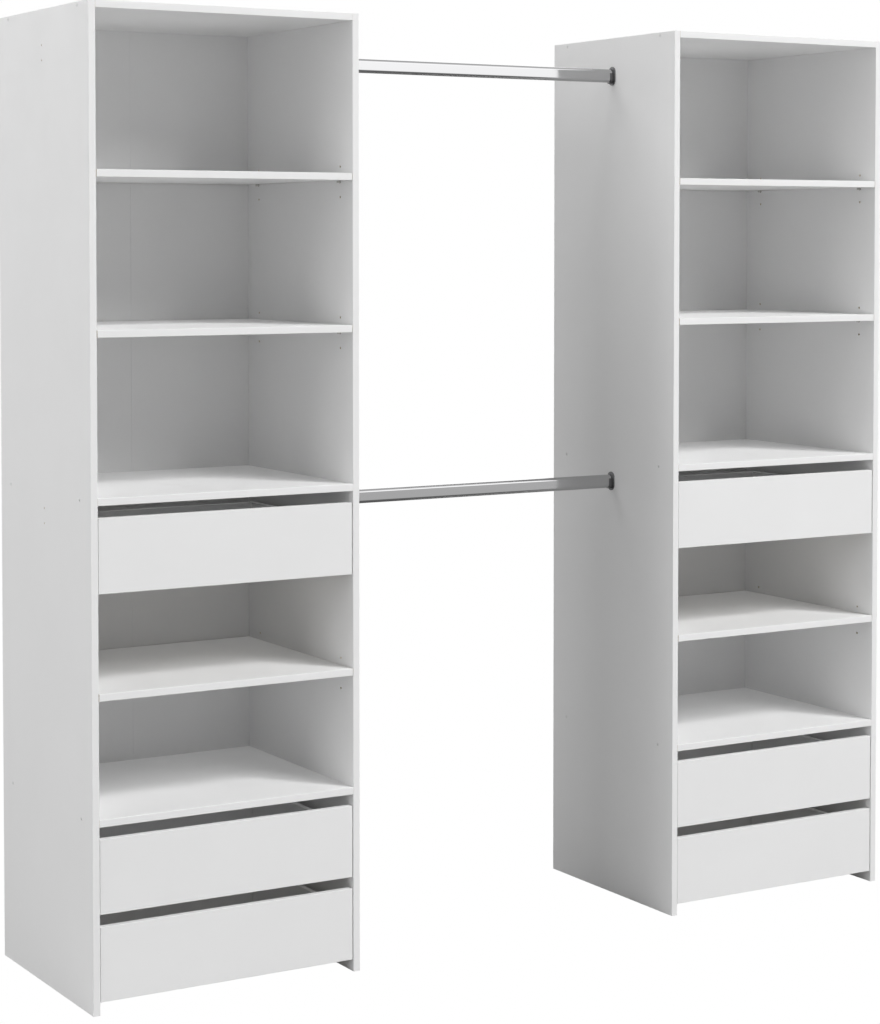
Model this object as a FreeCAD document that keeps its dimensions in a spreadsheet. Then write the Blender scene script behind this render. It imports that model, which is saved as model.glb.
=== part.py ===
import FreeCAD, Part
import math
import os
import re
import Sketcher

# A closet system: two open shelf towers with drawers, joined by two hanging rails.
# The frame has its origin on the floor under the middle, +X to the right, +Z up,
# and the towers open towards -Y. Every size below is in millimetres.

sizes = {
    # towers
    "towerWidth": 640,
    "sideDepth": 520,
    "towerHeight": 2132,
    "bayWidth": 860,
    "boardThick": 16,
    "edgeRound": 1,
    # underside height of the board above the upper drawer, and how the loose shelves share
    # out the clear height above that board and below that drawer
    "deckHeight": 1077,
    "thirdSpaceShare": 0.33905,
    "secondSpaceShare": 0.32291,
    "fifthSpaceShare": 0.54348,
    "shelfEndGap": 1,
    "shelfRearGap": 2,
    # back panel, folded along a score in its middle
    "backThick": 3,
    "backInset": 2,
    "backFootGap": 10,
    "scoreWidth": 1,
    "scoreDepth": 2,
    # shelf pins and the rows they stand in
    "frontRow": 58,
    "pinRadius": 2.5,
    "pinShank": 9,
    "pinReach": 8,
    "pinCollarRadius": 4,
    "pinCollarThick": 0.8,
    "pinHoleDepth": 10,
    "pinHolePitch": 34,
    "fitGap": 0.05,
    # long screws through the sides into the ends of the fixed boards
    "jointRow": 60,
    "jointLength": 45,
    "jointRadius": 2.5,
    "jointHeadRadius": 4,
    "jointHeadThick": 3,
    "jointTip": 3,
    "hexRadius": 2.3,
    "hexDepth": 2,
    "boreEndGap": 1,
    # small wood screws
    "smallRadius": 1.75,
    "smallLength": 12,
    "smallTip": 2.5,
    "smallHeadRadius": 3.5,
    "smallHeadThick": 2,
    "crossWidth": 1,
    "crossLength": 4,
    "crossDepth": 1.2,
    # hanging rails, oval tube
    "railTopDrop": 94,
    "railDeckDrop": 44,
    "railTall": 33,
    "railThick": 15,
    "railWall": 1.2,
    "railEndGap": 0.5,
    # flanges that carry the rails
    "flangeTall": 46,
    "flangeWide": 27,
    "flangePlate": 3,
    "flangeRound": 0.8,
    "flangeScrewSpacing": 33,
    "cupDepth": 11,
    "cupWall": 2.4,
    "cupRise": 7,
    "cupSlotWide": 8,
    "cupGap": 0.25,
    # wall brackets on top of the towers
    "bracketThick": 2,
    "bracketWide": 22,
    "bracketLeg": 36,
    "bracketTall": 22,
    "bracketInset": 150,
    "bracketRound": 3,
    "wallHoleRadius": 2.75,
    "wallHoleRise": 13,
    "bracketScrewStart": 13,
    "bracketScrewStep": 12,
    # drawer fronts and the finger gaps above them
    "floorGap": 27,
    "frontHeight": 160,
    "fingerGap": 26,
    "frontSideGap": 1.75,
    "frontRecess": 2,
    # drawer boxes
    "boxThick": 12,
    "boxDepth": 450,
    "boxHeight": 110,
    "boxRise": 10,
    "bottomThick": 3,
    "bottomRise": 10,
    "grooveDepth": 5,
    "grooveGap": 0.2,
    "bottomEdgeGap": 0.3,
    # drawer runners
    "runnerSpace": 12.7,
    "runnerLength": 440,
    "runnerSetback": 4,
    "runnerTall": 35,
    "runnerDepth": 11,
    "runnerSteel": 1.2,
    "runnerGap": 0.4,
    "runnerReach": 8,
    "runnerRise": 45,
    "runnerScrewInset": 40,
}

# Places that more than one piece uses, as formulas on the sizes above
frontY = "(-(sideDepth + backThick) / 2)"
backY = f"({frontY} + sideDepth)"
wallY = f"({backY} + backThick)"
clearWidth = "(towerWidth - 2 * boardThick)"
rearRow = "(sideDepth - frontRow)"
rearJoint = "(sideDepth - jointRow)"
lowDeckHeight = "(floorGap + 2 * frontHeight + 2 * fingerGap)"
topHeight = "(towerHeight - boardThick)"
slideTall = "(runnerTall - 2 * (runnerSteel + runnerGap))"
boxWidth = f"({clearWidth} - 2 * runnerSpace)"
boxInner = f"({boxWidth} - 2 * boxThick)"
boxStart = "(frontRecess + boardThick)"
bottomWidth = f"({boxInner} + 2 * (grooveDepth - bottomEdgeGap))"
grooveHeight = "(bottomThick + grooveGap)"
smallHole = "(smallRadius + fitGap)"
fixedBoards = {"top": topHeight, "upper_deck": "deckHeight", "lower_deck": lowDeckHeight}
drawerHeights = {
    "1": "(deckHeight - fingerGap - frontHeight)",
    "2": "(floorGap + frontHeight + fingerGap)",
    "3": "floorGap",
}
clearAbove = f"({topHeight} - deckHeight - 3 * boardThick)"
clearBelow = f"({drawerHeights['1']} - {lowDeckHeight} - 2 * boardThick)"
middleShelf = f"(deckHeight + boardThick + thirdSpaceShare * {clearAbove})"
looseShelves = {
    "1": f"({middleShelf} + boardThick + secondSpaceShare * {clearAbove})",
    "2": middleShelf,
    "3": f"({lowDeckHeight} + boardThick + fifthSpaceShare * {clearBelow})",
}
towers = {"left": "(-bayWidth / 2 - towerWidth)", "right": "(bayWidth / 2)"}
railHeights = {"upper": "(towerHeight - railTopDrop)", "lower": "(deckHeight - railDeckDrop)"}

upright = FreeCAD.Rotation()
turnedRound = FreeCAD.Rotation(FreeCAD.Vector(0, 0, 1), 180)
pointingRight = FreeCAD.Rotation(FreeCAD.Vector(0, 1, 0), 90)
pointingLeft = FreeCAD.Rotation(FreeCAD.Vector(0, 1, 0), -90)
pointingDown = FreeCAD.Rotation(FreeCAD.Vector(1, 0, 0), 180)

doc = FreeCAD.newDocument("closet")
sheet = doc.addObject("Spreadsheet::Sheet", "Sizes")
for row, (alias, value) in enumerate(sizes.items(), start=1):
    sheet.set(f"A{row}", alias)
    sheet.set(f"B{row}", str(value))
    sheet.setAlias(f"B{row}", alias)
doc.recompute()

subparts = []


def pinHeight(shelf):
    """The height of the pins that carry a loose shelf."""
    return f"({shelf} - pinRadius - fitGap)"


def runnerHeight(drawer):
    """The height of a runner's middle on the drawer whose front starts at this height."""
    return f"({drawer} + boxRise + runnerRise)"


def bind(item, prop, formula):
    """Ties a property to a formula on the sheet's sizes."""
    item.setExpression(prop, re.sub(r"[A-Za-z]\w*", r"Sizes.\g<0>", formula))


def place(item, x, y, z, turn=upright):
    item.Placement = FreeCAD.Placement(FreeCAD.Vector(), turn)
    for axis, formula in zip("xyz", (x, y, z)):
        bind(item, f"Placement.Base.{axis}", formula)


def newBody(name):
    body = doc.addObject("PartDesign::Body", name)
    body.Label = name
    return body


def box(body, kind, corner, span):
    """Adds a block to a body, or cuts one from it, between named sizes."""
    block = body.newObject(f"PartDesign::{kind}Box", f"{body.Label}_{kind}")
    for prop, formula in zip(("Length", "Width", "Height"), span):
        bind(block, prop, formula)
    place(block, *corner)
    doc.recompute()


def turned(body, kind, radius, height, start, tipRadius=None, turn=upright):
    """Adds a round or tapered length to a body, or cuts one from it, along +Z or a turned axis."""
    shape = "Cylinder" if tipRadius is None else "Cone"
    length = body.newObject(f"PartDesign::{kind}{shape}", f"{body.Label}_{shape}")
    if tipRadius is None:
        bind(length, "Radius", radius)
    else:
        bind(length, "Radius1", radius)
        bind(length, "Radius2", tipRadius)
    bind(length, "Height", height)
    spot = start if isinstance(start, tuple) else ("0", "0", start)
    place(length, *spot, turn)
    doc.recompute()


def newSketch(body, role, offset):
    sketch = body.newObject("Sketcher::SketchObject", f"{body.Label}_sketch")
    plane = [feature for feature in body.Origin.OriginFeatures if feature.Role == role][0]
    sketch.AttachmentSupport = (plane, [""])
    sketch.MapMode = "FlatFace"
    bind(sketch, "AttachmentOffset.Base.z", offset)
    return sketch


def measure(sketch, kind, where, formula):
    """Adds one dimension to a sketch and ties it to a formula."""
    index = sketch.addConstraint(Sketcher.Constraint(kind, *where, 1.0))
    bind(sketch, f"Constraints[{index}]", formula)


def drill(body, role, offset, along, spots, radius, depth):
    """Bores round holes from a plane of the body, along the plane's normal or against it."""
    before = body.Shape.Volume
    sketch = newSketch(body, role, offset)
    for across, up in spots:
        # a unit circle, which its three dimensions then place and size
        circle = Part.Circle(FreeCAD.Vector(1, 1, 0), FreeCAD.Vector(0, 0, 1), 1)
        ring = sketch.addGeometry(circle)
        measure(sketch, "Radius", (ring,), radius)
        measure(sketch, "DistanceX", (-1, 1, ring, 3), across)
        measure(sketch, "DistanceY", (-1, 1, ring, 3), up)
    pocket = body.newObject("PartDesign::Pocket", f"{body.Label}_holes")
    pocket.Profile = sketch
    pocket.Reversed = along
    bind(pocket, "Length", depth)
    doc.recompute()
    if not body.Shape.Volume < before:
        raise ValueError(f"the holes of {body.Label} cut nothing")


def soften(body, chosen, radius):
    """Rounds the edges of a body's present shape that a test picks."""
    base = body.Tip
    names = [f"Edge{n}" for n, edge in enumerate(base.Shape.Edges, start=1) if chosen(edge)]
    fillet = body.newObject("PartDesign::Fillet", f"{body.Label}_round")
    fillet.Base = (base, names)
    bind(fillet, "Radius", radius)
    doc.recompute()


def frontEdges(edge):
    """The long edges of a board's front face."""
    reach = sizes["fitGap"]
    return edge.BoundBox.YMax < reach and edge.Length > sizes["boardThick"] + reach


def slot(body, kind, offset, wide, tall, length, along=False):
    """Pads or pockets a stadium section that is centred on the body's own X axis."""
    sketch = newSketch(body, "YZ_Plane", offset)
    # a unit shape, which the radius and the height below then scale
    point = FreeCAD.Vector
    right = sketch.addGeometry(Part.LineSegment(point(1, -2, 0), point(1, 2, 0)))
    circle = Part.Circle(point(0, 2, 0), point(0, 0, 1), 1)
    top = sketch.addGeometry(Part.ArcOfCircle(circle, 0, math.pi))
    left = sketch.addGeometry(Part.LineSegment(point(-1, 2, 0), point(-1, -2, 0)))
    circle = Part.Circle(point(0, -2, 0), point(0, 0, 1), 1)
    bottom = sketch.addGeometry(Part.ArcOfCircle(circle, math.pi, 2 * math.pi))
    ring = [right, top, left, bottom]
    for first, second in zip(ring, ring[1:] + ring[:1]):
        sketch.addConstraint(Sketcher.Constraint("Tangent", first, 2, second, 1))
    for line in (right, left):
        sketch.addConstraint(Sketcher.Constraint("Vertical", line))
    sketch.addConstraint(Sketcher.Constraint("Symmetric", top, 3, bottom, 3, -1, 1))
    measure(sketch, "Radius", (top,), f"({wide} / 2)")
    measure(sketch, "DistanceY", (bottom, 3, top, 3), f"({tall} - {wide})")
    feature = body.newObject(f"PartDesign::{kind}", f"{body.Label}_{kind}")
    feature.Profile = sketch
    if kind == "Pocket":
        feature.Reversed = along
    bind(feature, "Length", length)
    doc.recompute()


def makeSide(name, innerFace):
    """A tower side: its inner face looks right (high) or left (low)."""
    body = newBody(name)
    box(body, "Additive", ("0", "0", "0"), ("boardThick", "sideDepth", "towerHeight"))
    soften(body, frontEdges, "edgeRound")
    high, low = ("boardThick", False), ("0", True)
    inner, outer = (high, low) if innerFace == "high" else (low, high)
    pins = [
        (row, f"({pinHeight(shelf)} + {step} * pinHolePitch)")
        for shelf in looseShelves.values()
        for row in ("frontRow", rearRow)
        for step in (-1, 0, 1)
    ]
    drill(body, "YZ_Plane", *inner, pins, "(pinRadius + fitGap)", "pinHoleDepth")
    joints = [
        (row, f"({board} + boardThick / 2)")
        for board in fixedBoards.values()
        for row in ("jointRow", rearJoint)
    ]
    drill(body, "YZ_Plane", *outer, joints, "(jointRadius + fitGap)", "boardThick")
    drill(body, "YZ_Plane", *outer, joints, "(jointHeadRadius + fitGap)", "jointHeadThick")
    rails = [
        ("(sideDepth / 2)", f"({height} + {side} * flangeScrewSpacing / 2)")
        for height in railHeights.values()
        for side in (-1, 1)
    ]
    drill(body, "YZ_Plane", *outer, rails, smallHole, "smallLength")
    runners = [
        (f"({boxStart} + runnerSetback + {reach})", runnerHeight(drawer))
        for drawer in drawerHeights.values()
        for reach in ("runnerScrewInset", "runnerLength - runnerScrewInset")
    ]
    drill(body, "YZ_Plane", *inner, runners, smallHole, "smallLength")
    return body


def makeFixedBoard(name):
    body = newBody(name)
    box(body, "Additive", ("0", "0", "0"), (clearWidth, "sideDepth", "boardThick"))
    soften(body, frontEdges, "edgeRound")
    spots = [(row, "(boardThick / 2)") for row in ("jointRow", rearJoint)]
    depth = "(jointLength - boardThick + boreEndGap)"
    drill(body, "YZ_Plane", "0", True, spots, "(jointRadius + fitGap)", depth)
    drill(body, "YZ_Plane", clearWidth, False, spots, "(jointRadius + fitGap)", depth)
    return body


def makeTopBoard(name):
    """A fixed board with pilot holes for the wall brackets in its upper face."""
    body = makeFixedBoard(name)
    middle = "(bracketInset + bracketWide / 2)"
    rear = "(sideDepth + backThick - bracketScrewStart)"
    spots = [
        (across, up)
        for across in (middle, f"({clearWidth} - {middle})")
        for up in (rear, f"({rear} - bracketScrewStep)")
    ]
    drill(body, "XY_Plane", "boardThick", False, spots, smallHole, "smallLength")
    return body


def makeLooseShelf(name):
    body = newBody(name)
    span = (f"({clearWidth} - 2 * shelfEndGap)", "(sideDepth - shelfRearGap)", "boardThick")
    box(body, "Additive", ("0", "0", "0"), span)
    soften(body, frontEdges, "edgeRound")
    return body


def makeBackPanel(name):
    """A thin sheet, scored down its middle so that it folds flat in its carton."""
    body = newBody(name)
    wide, tall = "(towerWidth - 2 * backInset)", "(towerHeight - backInset - backFootGap)"
    box(body, "Additive", ("0", "0", "0"), (wide, "backThick", tall))
    corner = (f"({wide} / 2 - scoreWidth / 2)", "0", "0")
    box(body, "Subtractive", corner, ("scoreWidth", "scoreDepth", tall))
    return body


def makePin(name):
    """A shelf pin along +Z: its shank comes first, then a collar and the reach under the shelf."""
    body = newBody(name)
    turned(body, "Additive", "pinRadius", "(pinShank + pinReach)", "0")
    turned(body, "Additive", "pinCollarRadius", "pinCollarThick", "pinShank")
    return body


def makeJointScrew(name):
    """A long screw with a flat round head and a hexagon socket."""
    body = newBody(name)
    turned(body, "Additive", "jointHeadRadius", "jointHeadThick", "0")
    turned(body, "Additive", "jointRadius", "(jointLength - jointTip)", "0")
    turned(body, "Additive", "jointRadius", "jointTip", "(jointLength - jointTip)", "(jointRadius / 2)")
    socket = body.newObject("PartDesign::SubtractivePrism", f"{name}_socket")
    socket.Polygon = 6
    bind(socket, "Circumradius", "hexRadius")
    bind(socket, "Height", "hexDepth")
    doc.recompute()
    return body


def cutCross(body, start):
    """Cuts a cross recess into a screw head whose face lies at a height along +Z."""
    for long, wide in (("crossLength", "crossWidth"), ("crossWidth", "crossLength")):
        corner = (f"(-{long} / 2)", f"(-{wide} / 2)", start)
        box(body, "Subtractive", corner, (long, wide, "crossDepth"))


def addSmallShank(body, start):
    length = "(smallLength - smallTip)"
    turned(body, "Additive", "smallRadius", length, start)
    turned(body, "Additive", "smallRadius", "smallTip", f"({start} + {length})", "(smallRadius / 4)")


def makePanScrew(name):
    """A small screw whose round head stands on the surface at Z = 0."""
    body = newBody(name)
    turned(body, "Additive", "smallHeadRadius", "smallHeadThick", "-smallHeadThick")
    addSmallShank(body, "0")
    cutCross(body, "-smallHeadThick")
    return body


def makeSunkScrew(name):
    """A small screw whose tapered head lies flush with the surface at Z = 0."""
    body = newBody(name)
    turned(body, "Additive", "smallHeadRadius", "smallHeadThick", "0", "smallRadius")
    addSmallShank(body, "smallHeadThick")
    cutCross(body, "0")
    return body


def makeRail(name):
    body = newBody(name)
    length = "(bayWidth - 2 * (flangePlate + railEndGap))"
    slot(body, "Pad", "0", "railThick", "railTall", length)
    inner = ("(railThick - 2 * railWall)", "(railTall - 2 * railWall)")
    slot(body, "Pocket", "0", *inner, length, True)
    return body


def makeFlange(name):
    """A stadium plate with a cup that is open at the top, so the rail drops in."""
    body = newBody(name)
    hole = ("(railThick + 2 * cupGap)", "(railTall + 2 * cupGap)")
    outer = [f"({size} + 2 * cupWall)" for size in hole]
    slot(body, "Pad", "0", "flangeWide", "flangeTall", "flangePlate")
    soften(body, lambda edge: edge.BoundBox.XMin > sizes["flangePlate"] - sizes["fitGap"], "flangeRound")
    slot(body, "Pad", "0", *outer, "cupDepth")
    slot(body, "Pocket", "flangePlate", *hole, "(cupDepth - flangePlate)", True)
    corner = ("flangePlate", "(-flangeWide / 2)", "cupRise")
    box(body, "Subtractive", corner, ("cupDepth", "flangeWide", "flangeTall"))
    corner = ("flangePlate", "(-cupSlotWide / 2)", "(-flangeTall / 2)")
    box(body, "Subtractive", corner, ("cupDepth", "cupSlotWide", "(flangeTall / 2)"))
    for side in ("", "-"):
        middle = ("0", "0", f"({side}flangeScrewSpacing / 2)")
        turned(body, "Subtractive", smallHole, "flangePlate", middle, turn=pointingRight)
        face = ("flangePlate", "0", middle[2])
        wide = "(smallHeadRadius + fitGap)"
        turned(body, "Subtractive", wide, "smallHeadThick", face, smallHole, pointingLeft)
    return body


def makeBracket(name):
    """An angle of thin steel: its low leg lies on the tower, its short leg stands at the wall."""
    body = newBody(name)
    box(body, "Additive", ("0", "0", "0"), ("bracketWide", "bracketLeg", "bracketThick"))
    corner = ("0", "(bracketLeg - bracketThick)", "0")
    box(body, "Additive", corner, ("bracketWide", "bracketThick", "bracketTall"))

    def corners(edge):
        reach = sizes["fitGap"]
        atEnd = edge.BoundBox.YMax < reach or edge.BoundBox.ZMin > sizes["bracketTall"] - reach
        return atEnd and edge.Length < sizes["bracketThick"] + reach

    soften(body, corners, "bracketRound")
    middle, rear = "(bracketWide / 2)", "(bracketLeg - bracketScrewStart)"
    spots = [(middle, rear), (middle, f"({rear} - bracketScrewStep)")]
    drill(body, "XY_Plane", "bracketThick", False, spots, smallHole, "bracketThick")
    spots = [(middle, "wallHoleRise")]
    wall = "(bracketThick - bracketLeg)"
    drill(body, "XZ_Plane", wall, False, spots, "wallHoleRadius", "bracketThick")
    return body


def makeRunnerRail(name):
    """The runner's fixed channel: its web lies on the tower side and it opens towards +X."""
    body = newBody(name)
    box(body, "Additive", ("0", "0", "0"), ("runnerDepth", "runnerLength", "runnerTall"))
    corner = ("runnerSteel", "0", "runnerSteel")
    hollow = ("runnerDepth", "runnerLength", "(runnerTall - 2 * runnerSteel)")
    box(body, "Subtractive", corner, hollow)
    ends = ("runnerScrewInset", "(runnerLength - runnerScrewInset)")
    spots = [(end, "(runnerTall / 2)") for end in ends]
    drill(body, "YZ_Plane", "0", True, spots, smallHole, "runnerSteel")
    return body


def makeSlide(name):
    """The runner's moving channel: its web lies on the drawer side and it opens towards -X."""
    body = newBody(name)
    box(body, "Additive", ("0", "0", "0"), ("runnerReach", "runnerLength", slideTall))
    corner = ("-runnerSteel", "0", "runnerSteel")
    box(body, "Subtractive", corner, ("runnerReach", "runnerLength", f"({slideTall} - 2 * runnerSteel)"))
    return body


def makeDrawerFront(name):
    body = newBody(name)
    wide = f"({clearWidth} - 2 * frontSideGap)"
    box(body, "Additive", ("0", "0", "0"), (wide, "boardThick", "frontHeight"))
    soften(body, frontEdges, "edgeRound")
    groove = f"({bottomWidth} + 2 * bottomEdgeGap)"
    corner = (f"({wide} / 2 - {groove} / 2)", "(boardThick - grooveDepth)", "(boxRise + bottomRise)")
    box(body, "Subtractive", corner, (groove, "grooveDepth", grooveHeight))
    return body


def makeDrawerSide(name):
    """A drawer side with the groove for the bottom in its right face."""
    body = newBody(name)
    box(body, "Additive", ("0", "0", "0"), ("boxThick", "boxDepth", "boxHeight"))
    corner = ("(boxThick - grooveDepth)", "0", "bottomRise")
    box(body, "Subtractive", corner, ("grooveDepth", "boxDepth", grooveHeight))
    return body


def makeDrawerBack(name):
    body = newBody(name)
    tall = f"(boxHeight - bottomRise - {grooveHeight})"
    box(body, "Additive", ("0", "0", "0"), (boxInner, "boxThick", tall))
    return body


def makeDrawerBottom(name):
    body = newBody(name)
    deep = "(boxDepth + grooveDepth - bottomEdgeGap)"
    box(body, "Additive", ("0", "0", "0"), (bottomWidth, deep, "bottomThick"))
    return body


def assemble(name, copies):
    """Puts copies of master pieces in their places, as one named sub-part."""
    links = []
    for number, (master, x, y, z, turn) in enumerate(copies, start=1):
        link = doc.addObject("App::Link", f"{name}_{number}")
        link.LinkedObject = master
        place(link, x, y, z, turn)
        links.append(link)
    piece = doc.addObject("Part::Compound", name)
    piece.Label = name
    piece.Links = links
    subparts.append(piece)


def buildTower(tower, x):
    left, right = ("outer", "inner") if tower == "left" else ("inner", "outer")
    farSide = f"({x} + towerWidth - boardThick)"
    assemble(f"{tower}_{left}_side", [(leftSide, x, frontY, "0", upright)])
    assemble(f"{tower}_{right}_side", [(rightSide, farSide, frontY, "0", upright)])
    start = f"({x} + boardThick)"
    for board, height in fixedBoards.items():
        master = topBoard if board == "top" else fixedBoard
        assemble(f"{tower}_{board}", [(master, start, frontY, height, upright)])
    for shelf, height in looseShelves.items():
        spot = (f"({start} + shelfEndGap)", frontY, height)
        assemble(f"{tower}_shelf_{shelf}", [(looseShelf, *spot, upright)])
    spot = (f"({x} + backInset)", backY, "backFootGap")
    assemble(f"{tower}_back_panel", [(backPanel, *spot, upright)])


def buildRunnerRails(tower, x):
    copies = []
    for drawer in drawerHeights.values():
        bottom = f"({runnerHeight(drawer)} - runnerTall / 2)"
        near = f"({frontY} + {boxStart} + runnerSetback)"
        copies.append((runnerRail, f"({x} + boardThick)", near, bottom, upright))
        far = f"({near} + runnerLength)"
        copies.append((runnerRail, f"({x} + towerWidth - boardThick)", far, bottom, turnedRound))
    assemble(f"{tower}_runner_rails", copies)


def buildDrawer(tower, x, number, height):
    name = f"{tower}_drawer_{number}"
    start = f"({x} + boardThick)"
    end = f"({x} + towerWidth - boardThick)"
    face = f"({frontY} + frontRecess)"
    boxFront = f"({frontY} + {boxStart})"
    floor = f"({height} + boxRise)"
    spot = (f"({start} + frontSideGap)", face, height)
    assemble(f"{name}_front", [(drawerFront, *spot, upright)])
    rear = f"({boxFront} + boxDepth)"
    pair = [
        (drawerSide, f"({start} + runnerSpace)", boxFront, floor, upright),
        (drawerSide, f"({end} - runnerSpace)", rear, floor, turnedRound),
    ]
    assemble(f"{name}_sides", pair)
    inner = f"({start} + runnerSpace + boxThick)"
    spot = (inner, f"({rear} - boxThick)", f"({floor} + bottomRise + {grooveHeight})")
    assemble(f"{name}_back", [(drawerBack, *spot, upright)])
    groove = "(grooveDepth - bottomEdgeGap)"
    spot = (f"({inner} - {groove})", f"({boxFront} - {groove})", f"({floor} + bottomRise)")
    assemble(f"{name}_bottom", [(drawerBottom, *spot, upright)])
    near = f"({boxFront} + runnerSetback)"
    bottom = f"({runnerHeight(height)} - {slideTall} / 2)"
    pair = [
        (slide, f"({start} + runnerSpace - runnerReach)", near, bottom, upright),
        (slide, f"({end} - runnerSpace + runnerReach)", f"({near} + runnerLength)", bottom, turnedRound),
    ]
    assemble(f"{name}_slides", pair)


def buildFasteners():
    """The groups of pins and screws, each in the hole that its board has for it."""
    pins, joints, sunk, brackets, bracketScrews, runners = [], [], [], [], [], []
    for tower, x in towers.items():
        far = f"({x} + towerWidth)"
        inner, farInner = f"({x} + boardThick)", f"({far} - boardThick)"
        for shelf in looseShelves.values():
            for row in ("frontRow", rearRow):
                level = (f"({frontY} + {row})", pinHeight(shelf))
                pins.append((pin, f"({inner} - pinShank)", *level, pointingRight))
                pins.append((pin, f"({farInner} + pinShank)", *level, pointingLeft))
        for board in fixedBoards.values():
            for row in ("jointRow", rearJoint):
                level = (f"({frontY} + {row})", f"({board} + boardThick / 2)")
                joints.append((jointScrew, x, *level, pointingRight))
                joints.append((jointScrew, far, *level, pointingLeft))
        for height in railHeights.values():
            for side in ("+", "-"):
                level = (f"({frontY} + sideDepth / 2)", f"({height} {side} flangeScrewSpacing / 2)")
                if tower == "left":
                    sunk.append((sunkScrew, f"({far} + flangePlate)", *level, pointingLeft))
                else:
                    sunk.append((sunkScrew, f"({x} - flangePlate)", *level, pointingRight))
        start = f"({x} + boardThick + bracketInset)"
        end = f"({far} - boardThick - bracketInset - bracketWide)"
        for side in (start, end):
            brackets.append((bracket, side, f"({wallY} - bracketLeg)", "towerHeight", upright))
            middle, top = f"({side} + bracketWide / 2)", "(towerHeight + bracketThick)"
            rear = f"({wallY} - bracketScrewStart)"
            for y in (rear, f"({rear} - bracketScrewStep)"):
                bracketScrews.append((panScrew, middle, y, top, pointingDown))
        for drawer in drawerHeights.values():
            near = f"({frontY} + {boxStart} + runnerSetback)"
            for reach in ("runnerScrewInset", "(runnerLength - runnerScrewInset)"):
                level = (f"({near} + {reach})", runnerHeight(drawer))
                runners.append((panScrew, f"({inner} + runnerSteel)", *level, pointingLeft))
                runners.append((panScrew, f"({farInner} - runnerSteel)", *level, pointingRight))
    assemble("shelf_pins", pins)
    assemble("joint_screws", joints)
    assemble("flange_screws", sunk)
    assemble("wall_brackets", brackets)
    assemble("bracket_screws", bracketScrews)
    assemble("runner_screws", runners)


def buildRails():
    near, far = "(-bayWidth / 2)", "(bayWidth / 2)"
    middle = f"({frontY} + sideDepth / 2)"
    for rail, height in railHeights.items():
        spot = (f"({near} + flangePlate + railEndGap)", middle, height)
        assemble(f"{rail}_rail", [(hangingRail, *spot, upright)])
        pair = [(flange, near, middle, height, upright), (flange, far, middle, height, turnedRound)]
        assemble(f"{rail}_rail_flanges", pair)


leftSide, rightSide = makeSide("leftHandSide", "high"), makeSide("rightHandSide", "low")
fixedBoard, topBoard = makeFixedBoard("fixedBoard"), makeTopBoard("topBoard")
looseShelf, backPanel = makeLooseShelf("looseShelf"), makeBackPanel("backPanel")
pin, jointScrew = makePin("pin"), makeJointScrew("jointScrew")
panScrew, sunkScrew = makePanScrew("panScrew"), makeSunkScrew("sunkScrew")
hangingRail, flange = makeRail("hangingRail"), makeFlange("flange")
bracket = makeBracket("bracket")
runnerRail, slide = makeRunnerRail("runnerRail"), makeSlide("slide")
drawerFront, drawerSide = makeDrawerFront("drawerFront"), makeDrawerSide("drawerSide")
drawerBack, drawerBottom = makeDrawerBack("drawerBack"), makeDrawerBottom("drawerBottom")

for tower, x in towers.items():
    buildTower(tower, x)
    buildRunnerRails(tower, x)
    for number, height in drawerHeights.items():
        buildDrawer(tower, x, number, height)
buildFasteners()
buildRails()
doc.recompute()

for item in doc.Objects:
    if {"Invalid", "Error"} & set(item.State):
        raise ValueError(f"{item.Label} failed: {item.State}")
for piece in subparts:
    if piece.Shape.isNull() or not piece.Shape.isValid():
        raise ValueError(f"{piece.Label} has no valid shape")

os.makedirs("parts", exist_ok=True)
for piece in subparts:
    piece.Shape.exportStep(f"parts/{piece.Label}.step")
print(f"{len(subparts)} sub-parts, {sum(len(piece.Shape.Solids) for piece in subparts)} solids")
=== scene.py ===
import bmesh
import bpy
import math
from mathutils import Matrix, Vector


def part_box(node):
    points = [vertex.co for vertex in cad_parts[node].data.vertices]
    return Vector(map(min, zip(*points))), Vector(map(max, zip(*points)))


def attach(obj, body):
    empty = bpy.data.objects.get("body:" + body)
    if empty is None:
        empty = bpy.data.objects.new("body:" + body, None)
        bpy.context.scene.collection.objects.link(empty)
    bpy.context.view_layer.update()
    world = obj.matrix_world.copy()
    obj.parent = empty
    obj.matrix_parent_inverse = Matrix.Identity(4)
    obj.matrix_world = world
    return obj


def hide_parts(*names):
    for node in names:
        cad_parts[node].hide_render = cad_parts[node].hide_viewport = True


# Dresses a closet system of two laminated shelf towers and two chromed hanging rails.
# Metres throughout. +Z is up, and the towers open towards -Y.

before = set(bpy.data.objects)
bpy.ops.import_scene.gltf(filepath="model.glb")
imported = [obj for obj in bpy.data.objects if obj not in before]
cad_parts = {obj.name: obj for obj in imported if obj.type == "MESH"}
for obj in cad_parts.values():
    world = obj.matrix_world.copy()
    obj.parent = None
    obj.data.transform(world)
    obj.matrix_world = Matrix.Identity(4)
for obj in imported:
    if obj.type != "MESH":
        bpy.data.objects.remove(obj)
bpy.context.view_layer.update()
scene = bpy.context.scene
scene.view_settings.view_transform = "Standard"  # plain whites, as in a studio photograph
towers = ("left", "right")
numbers = (1, 2, 3)  # of the loose shelves and of the drawers, from the top
fixedBoards = ("top", "upper_deck", "lower_deck")
rails = ("upper_rail", "lower_rail")
alongX, alongY, alongZ = Vector((1, 0, 0)), Vector((0, 1, 0)), Vector((0, 0, 1))
print("frame loaded")

# The camera stands where the photograph was taken. It looks down a little, so that the shift stays small
viewpoint = {
    "place": (-3.0464, -5.0062, 1.6356),
    "yaw": 30.767,  # degrees to the right of +Y
    "pitch": -2.180,
    "focalPixels": 2446.7,
    "longSidePixels": 1024,
    "dropPixels": 180.0,  # how far the picture's middle lies under the optical axis
}


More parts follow.
